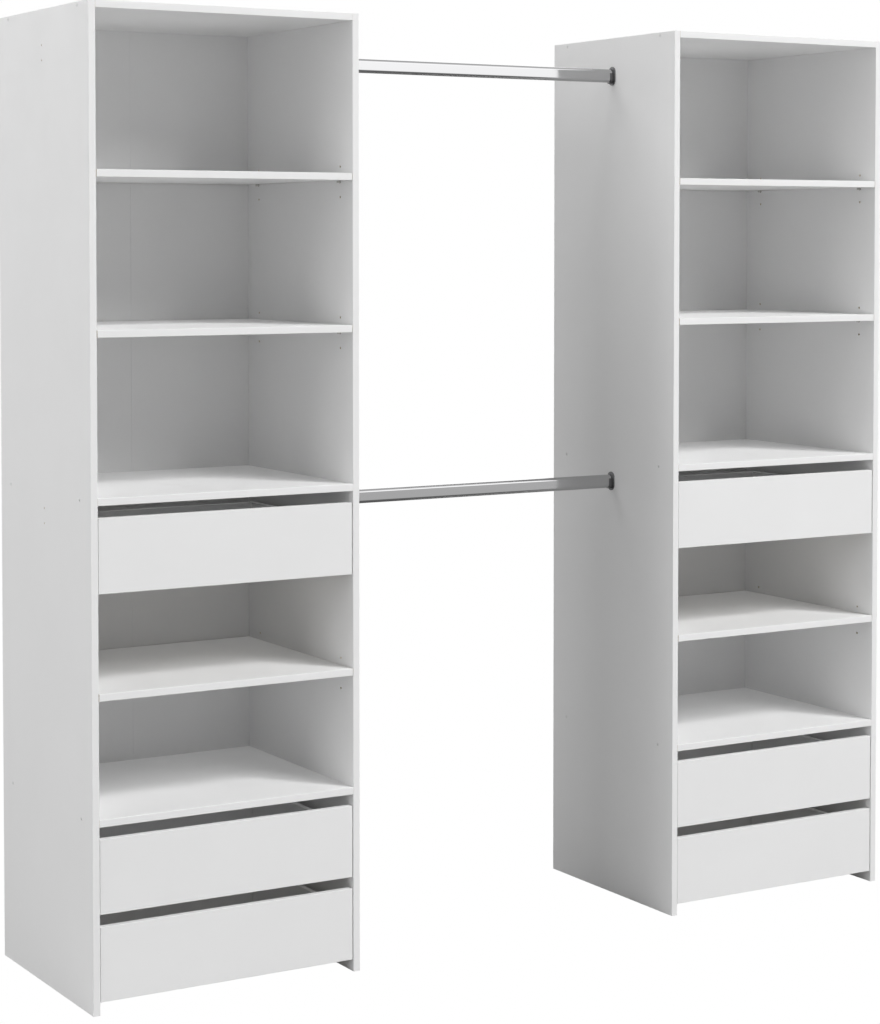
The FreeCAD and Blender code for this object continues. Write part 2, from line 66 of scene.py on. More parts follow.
def linked(name, data):
    item = bpy.data.objects.new(name, data)
    scene.collection.objects.link(item)
    return item


def addCamera():
    data = bpy.data.cameras.new("studioCamera")
    camera = linked("studioCamera", data)
    data.lens = data.sensor_width * viewpoint["focalPixels"] / viewpoint["longSidePixels"]
    data.shift_y = -viewpoint["dropPixels"] / viewpoint["longSidePixels"]
    camera.location = viewpoint["place"]
    tilt = math.radians(90 + viewpoint["pitch"])
    camera.rotation_euler = (tilt, 0, -math.radians(viewpoint["yaw"]))
    scene.camera = camera


addCamera()
print("camera placed")


# Shader helpers

def addNode(tree, kind, inputs=None, **settings):
    # inputs are values or sockets, by the socket's name or number
    node = tree.nodes.new(f"ShaderNode{kind}")
    for name, value in settings.items():
        setattr(node, name, value)
    for name, value in (inputs or {}).items():
        if isinstance(value, bpy.types.NodeSocket):
            tree.links.new(value, node.inputs[name])
        else:
            node.inputs[name].default_value = value
    return node


def stretched(tree, value, low, high, fromLow=0.0, fromHigh=1.0):
    # carries a value from one pair of limits to another
    limits = {"Value": value, "From Min": fromLow, "From Max": fromHigh, "To Min": low, "To Max": high}
    return addNode(tree, "MapRange", limits).outputs["Result"]


def combined(tree, operation, first, second):
    return addNode(tree, "Math", {0: first, 1: second}, operation=operation).outputs[0]


def blended(tree, share, low, high):
    mix = addNode(tree, "Mix", {0: share, 6: low, 7: high}, data_type="RGBA")
    return mix.outputs[2]


def spreadOut(tree, place, stretch):
    return addNode(tree, "VectorMath", {0: place, 1: stretch}, operation="MULTIPLY").outputs["Vector"]


def scaledTone(tree, colour, factor):
    return addNode(tree, "VectorMath", {0: colour, 3: factor}, operation="SCALE").outputs["Vector"]


def noiseOn(tree, place, scale, detail, roughness, distortion=0.0):
    inputs = {"Vector": place, "Scale": scale, "Detail": detail, "Roughness": roughness,
              "Distortion": distortion}
    return addNode(tree, "TexNoise", inputs).outputs["Fac"]


def wavesOn(tree, place, scale, distortion, direction):
    inputs = {"Vector": place, "Scale": scale, "Distortion": distortion, "Detail": 1.0}
    return addNode(tree, "TexWave", inputs, bands_direction=direction).outputs["Fac"]


def cellsOn(tree, place, scale):
    # separate cells, and a number that differs from one cell to the next
    cells = addNode(tree, "TexVoronoi", {"Vector": place, "Scale": scale}).outputs
    return cells, addNode(tree, "SeparateColor", {"Color": cells["Color"]}).outputs["Red"]


# the kinds of the groups' sockets, where they aren't plain numbers
socketKinds = {"Place": "Vector", "Stretch": "Vector", "Colour": "Color", "Worn": "Color"}


def newGroup(name, inputs, outputs):
    group = bpy.data.node_groups.new(name, "ShaderNodeTree")
    for way, labels in (("INPUT", inputs), ("OUTPUT", outputs)):
        for label in labels:
            kind = socketKinds.get(label, "Float")
            group.interface.new_socket(name=label, in_out=way, socket_type=f"NodeSocket{kind}")
    given = group.nodes.new("NodeGroupInput").outputs
    made = group.nodes.new("NodeGroupOutput").inputs
    return group, given, made


def useGroup(tree, group, **inputs):
    return addNode(tree, "Group", inputs, node_tree=group).outputs


effects = {
    "skinScale": 3.7,  # how much finer the grain's skin is than its waves
    "hazeScale": 5.3,  # how much finer the haze is than the shade
    "hazeReach": (0.3, 0.7),  # the noise's usual lowest and highest
    "patchReach": (0.48, 0.66),  # where the wear's patches start and are full
}


def makeGrainGroup():
    # fine relief in a stretched direction: coarse waves with a finer skin on them
    group, given, made = newGroup("fineGrain", ["Place", "Stretch", "Scale", "Skin"], ["Height"])
    drawn = spreadOut(group, given["Place"], given["Stretch"])
    waves = noiseOn(group, drawn, given["Scale"], detail=2.0, roughness=0.5)
    finer = combined(group, "MULTIPLY", given["Scale"], effects["skinScale"])
    skin = noiseOn(group, drawn, finer, detail=1.0, roughness=0.6)
    skin = combined(group, "MULTIPLY", skin, given["Skin"])
    group.links.new(combined(group, "ADD", waves, skin), made["Height"])
    return group


def makeVariationGroup():
    # slow changes over a surface: Shade for its tone and Haze for its gloss
    group, given, made = newGroup("slowVariation", ["Place", "Stretch", "Scale"], ["Shade", "Haze"])
    drawn = spreadOut(group, given["Place"], given["Stretch"])
    shade = noiseOn(group, drawn, given["Scale"], detail=4.0, roughness=0.55)
    closer = combined(group, "MULTIPLY", given["Scale"], effects["hazeScale"])
    haze = noiseOn(group, drawn, closer, detail=3.0, roughness=0.6, distortion=0.4)
    group.links.new(shade, made["Shade"])
    group.links.new(haze, made["Haze"])
    return group


def makeWearGroup():
    # rubbed places along the edges, from the mesh's own wear attribute broken up by noise
    group, given, made = newGroup("edgeWear", ["Place", "Scale", "Amount"], ["Wear"])
    edges = addNode(group, "Attribute", attribute_name="wear").outputs["Fac"]
    noise = noiseOn(group, given["Place"], given["Scale"], detail=5.0, roughness=0.65)
    broken = stretched(group, noise, 0.0, 1.0, *effects["patchReach"])
    wear = combined(group, "MULTIPLY", combined(group, "MULTIPLY", edges, broken), given["Amount"])
    group.links.new(wear, made["Wear"])
    return group


def makeTintGroup():
    # a colour with its slow shading and its worn places
    inputs = ["Colour", "Worn", "Shade", "Depth", "Wear"]
    group, given, made = newGroup("finishTint", inputs, ["Colour"])
    centred = combined(group, "SUBTRACT", given["Shade"], 0.5)
    factor = combined(group, "ADD", combined(group, "MULTIPLY", centred, given["Depth"]), 1.0)
    shaded = scaledTone(group, given["Colour"], factor)
    group.links.new(blended(group, given["Wear"], shaded, given["Worn"]), made["Colour"])
    return group


grainGroup, variationGroup = makeGrainGroup(), makeVariationGroup()
wearGroup, tintGroup = makeWearGroup(), makeTintGroup()
evenly = (1.0, 1.0, 1.0)


def startMaterial(name, metallic=0.0, specular=0.35):
    material = bpy.data.materials.new(name)
    material.use_nodes = True
    tree = material.node_tree
    shader = tree.nodes["Principled BSDF"]
    shader.inputs["Metallic"].default_value = metallic
    shader.inputs["Specular IOR Level"].default_value = specular
    place = addNode(tree, "TexCoord").outputs["Object"]
    return material, tree, shader, place


def applyFinish(tree, shader, place, look, height=None, tone=None):
    # the shared part of every finish: tone, gloss, relief and rubbed edges, from the look's values
    slow = useGroup(tree, variationGroup, Place=place, Stretch=look.get("swayStretch", evenly),
                    Scale=look["swayScale"])
    wear = useGroup(tree, wearGroup, Place=place, Scale=look["wearScale"], Amount=look["wear"])["Wear"]
    tint = useGroup(tree, tintGroup, Colour=look["colour"] if tone is None else tone,
                    Worn=look["worn"], Shade=slow["Shade"], Depth=look["shade"], Wear=wear)
    tree.links.new(tint["Colour"], shader.inputs["Base Color"])
    gloss = stretched(tree, slow["Haze"], *look["rough"], *effects["hazeReach"])
    gloss = combined(tree, "ADD", gloss, combined(tree, "MULTIPLY", wear, look["wornRough"]))
    tree.links.new(gloss, shader.inputs["Roughness"])
    relief = useGroup(tree, grainGroup, Place=place, Stretch=look.get("grainStretch", evenly),
                      Scale=look["grainScale"], Skin=look["skin"])["Height"]
    if height is not None:
        relief = combined(tree, "ADD", relief, height)
    bump = {"Height": relief, "Distance": look["relief"]}
    tree.links.new(addNode(tree, "Bump", bump).outputs["Normal"], shader.inputs["Normal"])


def makeFinish(name, look, metallic=0.0):
    # a finish that needs nothing beyond the shared part
    material, tree, shader, place = startMaterial(name, metallic)
    applyFinish(tree, shader, place, look)
    return material


# In each look the scales are the noise's, relief is the depth of the bump, and rough is the lowest and
# highest roughness. Shade, skin and wear say how strongly each of them shows

# melamine film with a fine pearled skin
laminateLook = {
    "colour": (0.88, 0.88, 0.88, 1.0), "worn": (0.72, 0.71, 0.69, 1.0),
    "shade": 0.05, "swayScale": 4.0, "rough": (0.40, 0.52),
    "grainScale": 900.0, "skin": 0.4, "relief": 0.00004,
    "wearScale": 60.0, "wear": 0.35, "wornRough": 0.2,
}

bandLook = {
    "colour": (0.89, 0.89, 0.89, 1.0), "worn": (0.70, 0.69, 0.67, 1.0),
    "shade": 0.04, "swayScale": 9.0, "rough": (0.30, 0.42),
    "grainScale": 420.0, "skin": 0.3, "relief": 0.00003,
    "wearScale": 80.0, "wear": 0.45, "wornRough": 0.25,
    "scraperPitch": 700.0,  # higher for finer ripples of the trimming knife
    "scraperWobble": 1.5,
    "scraperDepth": 0.15,
}


def makeBand():
    # plastic edge band, a little glossier than the film, with the trimmer's faint ripples
    material, tree, shader, place = startMaterial("whiteEdgeBand")
    scale = bandLook["scraperPitch"] / math.tau
    ripples = wavesOn(tree, place, scale, bandLook["scraperWobble"], "DIAGONAL")
    height = combined(tree, "MULTIPLY", ripples, bandLook["scraperDepth"])
    applyFinish(tree, shader, place, bandLook, height)
    return material


coreLook = {
    "colour": (0.66, 0.56, 0.43, 1.0), "worn": (0.42, 0.33, 0.23, 1.0),
    "shade": 0.3, "swayScale": 30.0, "rough": (0.80, 0.95),
    "grainScale": 700.0, "skin": 0.8, "relief": 0.0003,
    "wearScale": 300.0, "wear": 0.3, "wornRough": 0.0,
    "flakeScale": 420.0, "flakeStretch": (1.0, 1.0, 2.2),
    "palestFlake": (0.80, 0.71, 0.57, 1.0), "darkestFlake": (0.48, 0.38, 0.26, 1.0),
}


def makeCore():
    # pressed wood flakes, seen on sawn edges and in the holes
    material, tree, shader, place = startMaterial("chipboardCore", specular=0.2)
    drawn = spreadOut(tree, place, coreLook["flakeStretch"])
    flakes, share = cellsOn(tree, drawn, coreLook["flakeScale"])
    tone = blended(tree, share, coreLook["darkestFlake"], coreLook["palestFlake"])
    applyFinish(tree, shader, place, coreLook, flakes["Distance"], tone)
    return material


# the lacquered face of thin fibreboard
sheetLook = {
    "colour": (0.86, 0.86, 0.86, 1.0), "worn": (0.68, 0.66, 0.63, 1.0),
    "shade": 0.06, "swayScale": 5.0, "rough": (0.45, 0.6),
    "grainScale": 520.0, "skin": 0.5, "relief": 0.00007,
    "wearScale": 60.0, "wear": 0.3, "wornRough": 0.1,
}

meshedLook = {
    "colour": (0.70, 0.68, 0.64, 1.0), "worn": (0.50, 0.44, 0.36, 1.0),
    "shade": 0.14, "swayScale": 7.0, "rough": (0.72, 0.88),
    "grainScale": 650.0, "skin": 0.7, "relief": 0.00025,
    "wearScale": 60.0, "wear": 0.4, "wornRough": 0.05,
    "wirePitch": 0.0024,  # spacing of the press screen's wires
    "wireWobble": 0.3,
    "wireDepth": 0.6,
    "waveRate": 20,  # radians per metre in the wave texture, at a scale of one
}


def makeMeshedSheet():
    # the pressed rear of thin fibreboard, with the print of the wire screen
    material, tree, shader, place = startMaterial("fibreboardRear", specular=0.25)
    scale = math.tau / meshedLook["wirePitch"] / meshedLook["waveRate"]
    wires = [wavesOn(tree, place, scale, meshedLook["wireWobble"], direction) for direction in ("X", "Z")]
    height = combined(tree, "MULTIPLY", combined(tree, "MULTIPLY", *wires), meshedLook["wireDepth"])
    applyFinish(tree, shader, place, meshedLook, height)
    return material


# bright plating over a drawn tube: faint lengthwise draw lines and a breath of haze
chromeLook = {
    "colour": (0.49, 0.49, 0.495, 1.0), "worn": (0.45, 0.45, 0.45, 1.0),
    "shade": 0.03, "swayScale": 3.0, "swayStretch": (0.3, 3.0, 3.0),
    "rough": (0.05, 0.11),
    "grainScale": 300.0, "skin": 0.3, "grainStretch": (0.04, 1.0, 1.0), "relief": 0.000004,
    "wearScale": 70.0, "wear": 0.5, "wornRough": 0.15,
}

# plated die casting of the rail flanges, rubbed brighter along its rims
castLook = {
    "colour": (0.13, 0.13, 0.133, 1.0), "worn": (0.24, 0.24, 0.24, 1.0),
    "shade": 0.25, "swayScale": 60.0, "rough": (0.30, 0.46),
    "grainScale": 1100.0, "skin": 0.6, "relief": 0.00006,
    "wearScale": 400.0, "wear": 0.6, "wornRough": -0.05,
}

zincLook = {
    "colour": (0.58, 0.60, 0.62, 1.0), "worn": (0.72, 0.73, 0.74, 1.0),
    "shade": 0.12, "swayScale": 20.0, "rough": (0.26, 0.42),
    "grainScale": 800.0, "skin": 0.4, "relief": 0.00002,
    "wearScale": 200.0, "wear": 0.5, "wornRough": -0.08,
    "crystalScale": 160.0, "crystalSpread": 0.16,
}


def makeZinc():
    # galvanised steel with small crystals in the zinc
    material, tree, shader, place = startMaterial("zincSteel", metallic=1.0)
    share = cellsOn(tree, place, zincLook["crystalScale"])[1]
    factor = stretched(tree, share, 1 - zincLook["crystalSpread"], 1.0)
    tone = scaledTone(tree, zincLook["colour"][:3], factor)
    applyFinish(tree, shader, place, zincLook, None, tone)
    return material


# nickel plating of the pins and small screws
pinLook = {
    "colour": (0.66, 0.65, 0.62, 1.0), "worn": (0.8, 0.8, 0.78, 1.0),
    "shade": 0.1, "swayScale": 150.0, "rough": (0.18, 0.3),
    "grainScale": 2500.0, "skin": 0.4, "relief": 0.00001,
    "wearScale": 500.0, "wear": 0.5, "wornRough": 0.1,
}

# white lacquer on the heads of the joint screws, chipped a little at the rim
capLook = {
    "colour": (0.80, 0.80, 0.80, 1.0), "worn": (0.45, 0.45, 0.45, 1.0),
    "shade": 0.06, "swayScale": 120.0, "rough": (0.28, 0.4),
    "grainScale": 1600.0, "skin": 0.3, "relief": 0.00003,
    "wearScale": 600.0, "wear": 0.8, "wornRough": 0.1,
}


laminate, edgeBand, chipCore = makeFinish("whiteLaminate", laminateLook), makeBand(), makeCore()
paintedSheet, meshedSheet = makeFinish("whitePaintedSheet", sheetLook), makeMeshedSheet()
chrome = makeFinish("railChrome", chromeLook, metallic=1.0)
castMetal = makeFinish("flangeCasting", castLook, metallic=1.0)
zincSteel = makeZinc()
nickel = makeFinish("nickelPlate", pinLook, metallic=1.0)
lacquer = makeFinish("whiteLacquer", capLook)
print("materials made")


# Mesh helpers

sharpAngle = math.radians(50)
easeSteps = 2
overrun = 0.001  # how far a cutter stands out of what it cuts
mergeReach = 0.000001
cutReach = 0.0000001
nearBy = 0.00001
faceAbout = Matrix.Rotation(math.pi, 4, "Z")


def newBlock(low, high):
    bm = bmesh.new()
    made = bmesh.ops.create_cube(bm, size=1)["verts"]
    low, high = Vector(low), Vector(high)
    bmesh.ops.scale(bm, vec=high - low, verts=made)
    bmesh.ops.translate(bm, vec=(low + high) / 2, verts=made)
    return bm


def bevelEdges(bm, edges, width, steps):
    # rounds edges and marks the new faces as the places that rub
    made = bmesh.ops.bevel(bm, geom=edges, offset=width, offset_type="OFFSET", segments=steps,
                           profile=0.5, affect="EDGES", material=-1, clamp_overlap=True)
    wear = bm.faces.layers.float.get("wear") or bm.faces.layers.float.new("wear")
    for face in made["faces"]:
        if face.is_valid:
            face[wear] = 1


def sharpEdges(bm):
    return [edge for edge in bm.edges if edge.is_manifold and edge.calc_face_angle(0) > sharpAngle]


def allOf(bm):
    return bm.verts[:] + bm.edges[:] + bm.faces[:]


def toMesh(shape):
    # a bmesh as a mesh, and a mesh as it is
    if isinstance(shape, bpy.types.Mesh):
        return shape
    mesh = bpy.data.meshes.new("shape")
    shape.to_mesh(mesh)
    shape.free()
    return mesh


def tidied(bm):
    # merges doubles and turns every face outwards
    bmesh.ops.remove_doubles(bm, verts=bm.verts, dist=mergeReach)
    bmesh.ops.recalc_face_normals(bm, faces=bm.faces)
    return bm


def stamp(bm, master, matrix=Matrix()):
    # adds a copy of a master mesh in its place
    start = len(bm.verts)
    bm.from_mesh(master)
    bm.verts.ensure_lookup_table()
    bmesh.ops.transform(bm, matrix=matrix, verts=bm.verts[start:])


def carved(shape, *cutters, operation="DIFFERENCE"):
    # a shape less its cutters, whose own material numbers line what they cut, or joined with them
    body = linked("carving", toMesh(shape))
    tools = [linked("cutter", toMesh(cutter)) for cutter in cutters]
    for tool in tools:
        cut = body.modifiers.new("cut", "BOOLEAN")
        cut.operation, cut.solver, cut.object = operation, "EXACT", tool
        cut.material_mode = "INDEX"
    graph = bpy.context.evaluated_depsgraph_get()
    made = bpy.data.meshes.new_from_object(body.evaluated_get(graph))
    for item in [body, *tools]:
        bpy.data.objects.remove(item)
    return made


def turnedMesh(outline, steps=24, material=0, ease=0.0):
    # revolves an outline of (radius, height) points about +Z
    bm = bmesh.new()
    points = [bm.verts.new((radius, 0, height)) for radius, height in outline]
    edges = [bm.edges.new(pair) for pair in zip(points, points[1:])]
    bmesh.ops.spin(bm, geom=points + edges, axis=alongZ, cent=(0, 0, 0), angle=math.tau,
                   steps=steps, use_merge=True)
    tidied(bm)
    if ease:
        bevelEdges(bm, sharpEdges(bm), ease, easeSteps)
    for face in bm.faces:
        face.material_index = material
    return toMesh(bm)


def pointing(direction, place, turn=0.0):
    # carries a shape that was made along +Z to a place, along a direction
    swing = alongZ.rotation_difference(Vector(direction)).to_matrix().to_4x4()
    return Matrix.Translation(place) @ swing @ Matrix.Rotation(turn, 4, "Z")


def ovalBlock(wide, tall, low, high, steps):
    # a flat-sided oval bar along +X, wide in Y and tall in Z
    bm = bmesh.new()
    halfStep = Matrix.Rotation(math.pi / steps, 4, "Z")
    toSection = Matrix(((0, 0, 1, 0), (1, 0, 0, 0), (0, 1, 0, 0), (0, 0, 0, 1)))
    ring = bmesh.ops.create_circle(bm, cap_ends=True, radius=wide / 2, segments=steps,
                                   matrix=toSection @ halfStep)["verts"]
    for sign in (1, -1):
        half = [vert for vert in ring if vert.co.z * sign > 0]
        bmesh.ops.translate(bm, vec=alongZ * sign * (tall - wide) / 2, verts=half)
    bmesh.ops.translate(bm, vec=alongX * low, verts=ring)
    lifted = bmesh.ops.extrude_face_region(bm, geom=bm.faces[:])["geom"]
    moved = [item for item in lifted if isinstance(item, bmesh.types.BMVert)]
    bmesh.ops.translate(bm, vec=alongX * (high - low), verts=moved)
    return tidied(bm)


def addPiece(name, shape, materials, slot, *nodes, body="root"):
    # shades a finished shape and hangs it on its body in place of its CAD nodes
    mesh = toMesh(shape)
    mesh.name = name
    for material in materials:
        mesh.materials.append(material)
    mesh.polygons.foreach_set("use_smooth", [True] * len(mesh.polygons))
    mesh.set_sharp_from_angle(angle=sharpAngle)
    piece = linked(name, mesh)
    even = piece.modifiers.new("evenShading", "WEIGHTED_NORMAL")
    even.keep_sharp = True
    even.weight = 100
    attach(piece, body)
    if nodes:
        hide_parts(*nodes)


def stampPair(bm, master, left, right, y, z, turn=0.0):
    # two copies on one line along X: one points to the right from the first place, one to the left
    stamp(bm, master, pointing(alongX, (left, y, z), turn))
    stamp(bm, master, pointing(-alongX, (right, y, z), turn))


def stampFacing(bm, master, first, second):
    # a copy at each place, the second one turned about
    stamp(bm, master, Matrix.Translation(first))
    stamp(bm, master, Matrix.Translation(second) @ faceAbout)


def middle(node):
    low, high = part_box(node)
    return (low + high) / 2


def bothRows(low, high, inset):
    # the places along Y this far in from the front and from the rear
    return low.y + inset, high.y - inset


# Boards

boardLook = {
    "frontRound": 0.001,
    "edgeBreak": 0.0003,
    "bandDepth": 0.001,  # thickness of the edge band, seen along a board's face
    "rimBreak": 0.0002,
    "frontSteps": 4,
    "breakSteps": 2,
    "bandWear": 0.5,
}
faceSlot, bandSlot, coreSlot = 0, 1, 2  # a board's materials, in their order
boardMaterials = (laminate, edgeBand, chipCore)
sideNames = {(0, -1): "left", (0, 1): "right", (1, -1): "front", (1, 1): "rear",
             (2, -1): "bottom", (2, 1): "top"}


def sideOf(normal):
    axis = max(range(3), key=lambda number: abs(normal[number]))
    return sideNames[axis, 1 if normal[axis] > 0 else -1]


def boardMesh(low, high, banded=("front",)):
    # a laminated board: banded on the named edges and sawn on the others
    bm = newBlock(low, high)
    size = high - low
    thin = min(range(3), key=lambda axis: size[axis])
    for face in bm.faces:
        if abs(face.normal[thin]) < 0.5:
            face.material_index = bandSlot if sideOf(face.normal) in banded else coreSlot
    rounded = [edge for edge in bm.edges
               if {face.material_index for face in edge.link_faces} == {faceSlot, bandSlot}]
    bevelEdges(bm, rounded, boardLook["frontRound"], boardLook["frontSteps"])
    bevelEdges(bm, sharpEdges(bm), boardLook["edgeBreak"], boardLook["breakSteps"])
    wear = bm.faces.layers.float.get("wear")
    for (axis, sign), side in sideNames.items():
        if side not in banded:
            continue
        plane, outwards = Vector(), Vector()
        plane[axis] = (low if sign < 0 else high)[axis] - sign * boardLook["bandDepth"]
        outwards[axis] = sign
        bmesh.ops.bisect_plane(bm, geom=allOf(bm), plane_co=plane, plane_no=outwards, dist=cutReach)
        for face in bm.faces:
            beyond = (face.calc_center_median() - plane).dot(outwards) > 0
            if beyond and face.material_index == faceSlot:
                face.material_index = bandSlot
                face[wear] = boardLook["bandWear"]
    return toMesh(bm)


def addBoard(node, mesh, body="root"):
    addPiece(f"{node}_board", mesh, boardMaterials, "white_laminate", node, body=body)


holeLook = {
    "pinRadius": 0.00255,
    "pinDepth": 0.010,
    "pinPitch": 0.034,
    "pinRow": 0.058,  # from a side's front or rear edge
    "pinDrop": 0.00255,  # under the shelf that the pins carry
    "jointRadius": 0.00255,
    "jointHeadRadius": 0.00405,
    "jointHeadDepth": 0.003,
    "jointRow": 0.060,
    "jointBore": 0.030,  # into the ends of the fixed boards
    "pilotRadius": 0.0018,
    "pilotDepth": 0.012,
    "flangePitch": 0.033,
    "runnerInset": 0.040,
    "drillTip": 0.0012,
}


def drillMesh(radius, depth, headRadius=0.0, headDepth=0.0):
    # a hole along +Z from a surface at Z = 0, with its rim eased in the film and the drill's point
    rim = boardLook["rimBreak"]
    wide = headRadius or radius
    outline = [(0, -overrun), (wide + rim + overrun, -overrun), (wide, rim)]
    if headRadius:
        outline += [(wide, headDepth), (radius, headDepth)]
    outline += [(radius, depth), (0, depth + holeLook["drillTip"])]
    drill = turnedMesh(outline, material=coreSlot)
    for face in drill.polygons:
        if face.center.z < rim / 2:
            face.material_index = faceSlot
    return drill


pinDrill = drillMesh(holeLook["pinRadius"], holeLook["pinDepth"])
pilotDrill = drillMesh(holeLook["pilotRadius"], holeLook["pilotDepth"])


def pinLevel(tower, shelf):
    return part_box(f"{tower}_shelf_{shelf}")[0].z - holeLook["pinDrop"]


def makeSide(tower, name, innerIsRight):
    node = f"{tower}_{name}_side"
    low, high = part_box(node)
    thick = high.x - low.x
    inner, outer = (high.x, low.x) if innerIsRight else (low.x, high.x)
    inwards = alongX * (-1 if innerIsRight else 1)  # from the inner face into the board
    holes = bmesh.new()
    look = holeLook
    for shelf in numbers:
        for y in bothRows(low, high, look["pinRow"]):
            for step in (-1, 0, 1):
                place = (inner, y, pinLevel(tower, shelf) + step * look["pinPitch"])
                stamp(holes, pinDrill, pointing(inwards, place))
    through = drillMesh(look["jointRadius"], thick + overrun,
                        look["jointHeadRadius"], look["jointHeadDepth"])
    for board in fixedBoards:
        for y in bothRows(low, high, look["jointRow"]):
            stamp(holes, through, pointing(-inwards, (outer, y, middle(f"{tower}_{board}").z)))
    for rail in rails:
        for side in (-0.5, 0.5):
            level = middle(rail).z + side * look["flangePitch"]
            stamp(holes, pilotDrill, pointing(-inwards, (outer, middle(rail).y, level)))
    for number in numbers:
        level = middle(f"{tower}_drawer_{number}_slides").z
        for y in bothRows(*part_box(f"{tower}_runner_rails"), look["runnerInset"]):
            stamp(holes, pilotDrill, pointing(inwards, (inner, y, level)))
    addBoard(node, carved(boardMesh(low, high, ("front", "top")), holes))


def makeDeckBoards(tower):
    # the boards between the sides: three fixed ones, bored for the joint screws, and three on pins
    bore = drillMesh(holeLook["jointRadius"], holeLook["jointBore"])
    for board in (*fixedBoards, "shelf_1", "shelf_2", "shelf_3"):
        node = f"{tower}_{board}"
        low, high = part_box(node)
        mesh = boardMesh(low, high)
        if board in fixedBoards:
            bores = bmesh.new()
            for y in bothRows(low, high, holeLook["jointRow"]):
                stampPair(bores, bore, low.x, high.x, y, middle(node).z)
            mesh = carved(mesh, bores)
        addBoard(node, mesh)


for tower in towers:
    makeSide(tower, "outer", tower == "left")
    makeSide(tower, "inner", tower == "right")
    makeDeckBoards(tower)
print("tower boards made")

panelLook = {
    "scoreWide": 0.0008,
    "scoreDeep": 0.0006,
    "edgeBreak": 0.0002,
    "nailEdge": 0.006,  # from the panel's edges to its nails
    "nailsDown": 14,
    "nailsAcross": 4,
    "dimpleRadius": 0.0028,
    "dimpleDeep": 0.0007,
    "nailSunk": 0.0001,
    "nailHead": 0.0022,
    "nailHeadThick": 0.0006,
    "nailRadius": 0.0008,
    "nailLength": 0.018,
    "nailEase": 0.0002,
    "nailSteps": 12,
}
sheetMaterials = (paintedSheet, meshedSheet, chipCore)  # face, rear and sawn edge


def sheetMesh(low, high, paintedSide, pressedSide):
    # a thin sheet with its painted face on one side and its pressed rear on the other
    bm = newBlock(low, high)
    for face in bm.faces:
        face.material_index = {paintedSide: 0, pressedSide: 1}.get(sideOf(face.normal), 2)
    bevelEdges(bm, sharpEdges(bm), panelLook["edgeBreak"], easeSteps)
    return toMesh(bm)


def nailPlaces(tower):
    # down both sides and along the three fixed boards
    look = panelLook
    low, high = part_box(f"{tower}_back_panel")
    left, right = low.x + look["nailEdge"], high.x - look["nailEdge"]
    rise = (high.z - low.z - 2 * look["nailEdge"]) / (look["nailsDown"] - 1)
    levels = [low.z + look["nailEdge"] + rise * step for step in range(look["nailsDown"])]
    places = [(x, high.y, level) for x in (left, right) for level in levels]
    stride = (right - left) / (look["nailsAcross"] + 1)
    for board in fixedBoards:
        level = middle(f"{tower}_{board}").z
        places += [(left + stride * (step + 1), high.y, level) for step in range(look["nailsAcross"])]
    return places


def makeBackPanel(tower):
    # thin painted sheet with a fold score down its middle
    node = f"{tower}_back_panel"
    low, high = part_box(node)
    look, nails, dimples = panelLook, bmesh.new(), bmesh.new()
    across = alongX * look["scoreWide"] / 2
    centre = Vector(((low.x + high.x) / 2, low.y, low.z))
    score = newBlock(centre - across - Vector((0, overrun, overrun)),
                     centre + across + Vector((0, look["scoreDeep"], high.z - low.z + overrun)))
    mouth = look["dimpleRadius"] * (1 + overrun / look["dimpleDeep"])
    outline = [(0, -overrun), (mouth, -overrun), (0, look["dimpleDeep"])]
    dimple = turnedMesh(outline, look["nailSteps"], material=1)
    start, neck = look["nailSunk"], look["nailSunk"] + look["nailHeadThick"]
    outline = [(0, start), (look["nailHead"], start), (look["nailRadius"], neck),
               (look["nailRadius"], look["nailLength"]), (0, look["nailLength"] + look["nailHeadThick"])]
    nail = turnedMesh(outline, look["nailSteps"], ease=look["nailEase"])
    for place in nailPlaces(tower):
        stamp(dimples, dimple, pointing(-alongY, place))
        stamp(nails, nail, pointing(-alongY, place))
    mesh = carved(sheetMesh(low, high, "front", "rear"), score, dimples)
    addPiece(f"{node}_sheet", mesh, sheetMaterials, "white_hardboard", node)
    addPiece(f"{tower}_panel_nails", nails, (zincSteel,), "zinc_steel")


for tower in towers:
    makeBackPanel(tower)
print("back panels made")

# Screws

ridgeShares = (0.15, 0.5, 0.8)  # where a ridge's crest and foot lie in one pitch


def threadOutline(look, start, end):
    # the ridges of a screw thread between two heights, as rings
    count = round((end - start) / look["pitch"])
    step = (end - start) / count
    points = []
    for turn in range(count):
        crest, foot, rise = (start + step * (turn + share) for share in ridgeShares)
        points += [(look["radius"], crest), (look["rootRadius"], foot), (look["rootRadius"], rise)]
    return points


def crossed(mesh, top, size):
    # sinks a driver's cross into a head whose top lies at a height
    long, wide, deep = size
    for across, along in ((long / 2, wide / 2), (wide / 2, long / 2)):
        arm = newBlock((-across, -along, top - overrun), (across, along, top + deep))
        mesh = carved(mesh, arm)
    return mesh


smallShape = {
    "length": 0.012,
    "radius": 0.00175,
    "rootRadius": 0.0013,
    "pitch": 0.0012,
    "tip": 0.0025,
    "headRadius": 0.0035,
    "headThick": 0.002,
    "cross": (0.004, 0.001, 0.0012),  # long, wide, deep
    "domeSteps": 5,
    "steps": 20,
}


